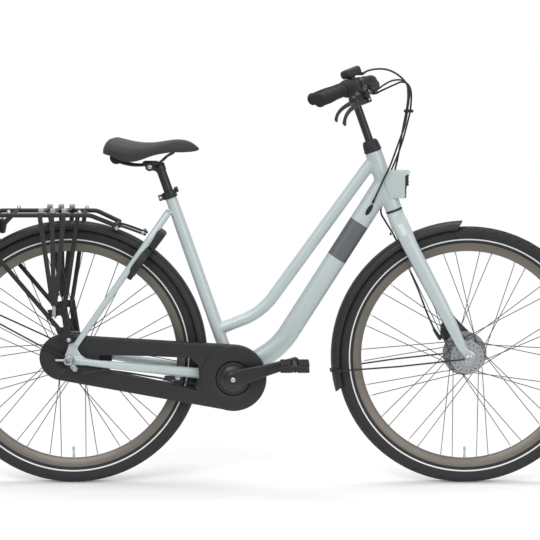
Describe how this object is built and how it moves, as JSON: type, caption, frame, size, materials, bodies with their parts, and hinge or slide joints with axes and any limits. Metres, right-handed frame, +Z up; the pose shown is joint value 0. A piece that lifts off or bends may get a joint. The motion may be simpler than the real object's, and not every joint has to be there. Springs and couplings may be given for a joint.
{
  "type": "city bicycle",
  "caption": "Low step-through city bicycle with a closed chaincase, fenders, rear rack with straps, ring lock and swept handlebar, steering, rolling and pedalling on real joints.",
  "frame": {"origin": "on the ground under the middle of the bicycle's length, in the plane of its wheels", "axes": "+X forward along the length, +Y to the rider's left, +Z up; the drive side faces -Y"},
  "size_m": [1.786, 0.6248, 1.1302],
  "materials": {
    "frame_paint": "gloss",
    "lamp_shell": "gloss",
    "black_paint": "satin",
    "black_plastic": "satin",
    "soft_rubber": "matte",
    "saddle_skin": "matte",
    "tyre_rubber": "matte",
    "rim_metal": "satin",
    "hub_metal": "satin",
    "steel": "satin",
    "post_metal": "satin",
    "lens_front": "gloss",
    "lens_rear": "gloss"
  },
  "bodies": {
    "frame": {"main_frame": "frame_paint", "headlamp_housing": "lamp_shell", "headlamp_lens": "lens_front", "upper_headset_cup": "black_plastic", "lower_headset_cup": "black_plastic", "bottom_bracket": "steel", "seat_clamp": "black_paint", "chaincase_outer": "black_plastic", "chaincase_inner": "black_plastic", "chain": "steel", "rear_fender": "black_plastic", "rear_fender_stay": "steel", "rack": "black_paint", "rack_straps": "soft_rubber", "ring_lock_body": "black_plastic", "rear_axle": "steel", "rear_brake_arm": "black_paint", "rear_lamp": "lens_rear", "gear_cable_front": "soft_rubber", "gear_cable_rear": "soft_rubber", "rear_brake_cable_front": "soft_rubber", "rear_brake_cable_rear": "soft_rubber"},
    "steering": {"fork": "frame_paint", "stem": "black_paint", "handlebar": "black_paint", "left_grip": "soft_rubber", "right_grip": "soft_rubber", "left_lever_perch": "black_paint", "right_lever_perch": "black_paint", "shift_indicator": "black_plastic", "front_fender": "black_plastic", "front_fender_stay": "steel", "front_axle": "steel", "front_brake_arm": "black_paint", "front_brake_cable": "soft_rubber"},
    "twist_grip": {"twist_grip": "soft_rubber"},
    "left_lever": {"left_brake_lever": "black_paint"},
    "right_lever": {"right_brake_lever": "black_paint"},
    "front_cam": {"front_brake_cam": "steel"},
    "rear_cam": {"rear_brake_cam": "steel"},
    "bell_crank": {"bell_crank": "steel"},
    "shackle": {"lock_shackle": "steel"},
    "kickstand": {"kickstand_leg": "steel"},
    "seat": {"seatpost": "post_metal", "saddle_clamp": "black_paint", "saddle_rails": "steel", "saddle_cover": "saddle_skin"},
    "crankset": {"crank_axle": "steel", "right_crank": "black_paint", "left_crank": "black_paint"},
    "right_pedal": {"right_pedal": "black_plastic"},
    "left_pedal": {"left_pedal": "black_plastic"},
    "sprocket": {"sprocket": "steel"},
    "front_wheel": {"front_hub": "hub_metal", "front_rim": "rim_metal", "front_tyre": "tyre_rubber"},
    "rear_wheel": {"rear_hub": "hub_metal", "rear_rim": "rim_metal", "rear_tyre": "tyre_rubber"}
  },
  "joints": [
    {"name": "steering", "type": "hinge", "parent": "frame", "child": "steering", "pos_m": [0.31411, 0, 0.82473], "axis": [-0.3404, 0, 0.9403], "range_deg": [-55, 55], "deforming": ["gear_cable_front", "rear_brake_cable_front", "front_brake_cable"]},
    {"name": "front_wheel_spin", "type": "hinge", "parent": "steering", "child": "front_wheel", "pos_m": [0.54197, 0, 0.351], "axis": [0, 1, 0], "continuous": true},
    {"name": "rear_wheel_spin", "type": "hinge", "parent": "frame", "child": "rear_wheel", "pos_m": [-0.52603, 0, 0.351], "axis": [0, 1, 0], "continuous": true},
    {"name": "crank_spin", "type": "hinge", "parent": "frame", "child": "crankset", "pos_m": [-0.08773, 0, 0.2985], "axis": [0, 1, 0], "continuous": true},
    {"name": "sprocket_spin", "type": "hinge", "parent": "frame", "child": "sprocket", "pos_m": [-0.52603, 0, 0.351], "axis": [0, 1, 0], "continuous": true},
    {"name": "right_pedal_spin", "type": "hinge", "parent": "crankset", "child": "right_pedal", "pos_m": [0.07527, -0.1395, 0.34678], "axis": [0, 1, 0], "continuous": true},
    {"name": "left_pedal_spin", "type": "hinge", "parent": "crankset", "child": "left_pedal", "pos_m": [-0.25073, 0.1395, 0.25022], "axis": [0, 1, 0], "continuous": true},
    {"name": "left_lever_pull", "type": "hinge", "parent": "steering", "child": "left_lever", "pos_m": [0.26168, 0.12306, 1.03914], "axis": [0.7416, 0.6148, 0.2685], "range_deg": [0, 12], "stiffness_Nm_per_rad": 3, "springref_deg": -2.86},
    {"name": "front_cam_turn", "type": "hinge", "parent": "steering", "child": "front_cam", "pos_m": [0.51397, 0.0418, 0.385], "axis": [0, 1, 0], "range_deg": [0, 20], "deforming": ["front_brake_cable"]},
    {"name": "right_lever_pull", "type": "hinge", "parent": "steering", "child": "right_lever", "pos_m": [0.26168, -0.12306, 1.03914], "axis": [-0.7416, 0.6148, -0.2685], "range_deg": [0, 12], "stiffness_Nm_per_rad": 3, "springref_deg": -2.86},
    {"name": "rear_cam_turn", "type": "hinge", "parent": "frame", "child": "rear_cam", "pos_m": [-0.50603, 0.0578, 0.315], "axis": [0, -1, 0], "range_deg": [0, 20], "deforming": ["rear_brake_cable_rear"]},
    {"name": "twist_grip_turn", "type": "hinge", "parent": "steering", "child": "twist_grip", "pos_m": [0.20632, -0.19906, 1.06868], "axis": [0.5725, 0.7886, 0.2244], "range_deg": [0, 90]},
    {"name": "bell_crank_turn", "type": "hinge", "parent": "frame", "child": "bell_crank", "pos_m": [-0.52603, -0.088, 0.351], "axis": [0, -1, 0], "range_deg": [0, 30], "deforming": ["gear_cable_rear"]},
    {"name": "seatpost_slide", "type": "slide", "parent": "frame", "child": "seat", "axis": [-0.3289, 0, 0.9444], "range_m": [-0.04, 0.06]},
    {"name": "lock_shackle_turn", "type": "hinge", "parent": "frame", "child": "shackle", "pos_m": [-0.3319, 0, 0.6029], "axis": [-0.7997, 0, 0.6004], "range_deg": [0, 79]},
    {"name": "kickstand_fold", "type": "hinge", "parent": "frame", "child": "kickstand", "pos_m": [-0.14773, 0.046, 0.2665], "axis": [0, -1, 0], "range_deg": [0, 108]}
  ],
  "couplings": [
    {"joint": "sprocket_spin", "follows": "crank_spin", "ratio": 2},
    {"joint": "front_cam_turn", "follows": "left_lever_pull", "ratio": 1.6},
    {"joint": "rear_cam_turn", "follows": "right_lever_pull", "ratio": 1.6},
    {"joint": "bell_crank_turn", "follows": "twist_grip_turn", "ratio": 0.3}
  ]
}
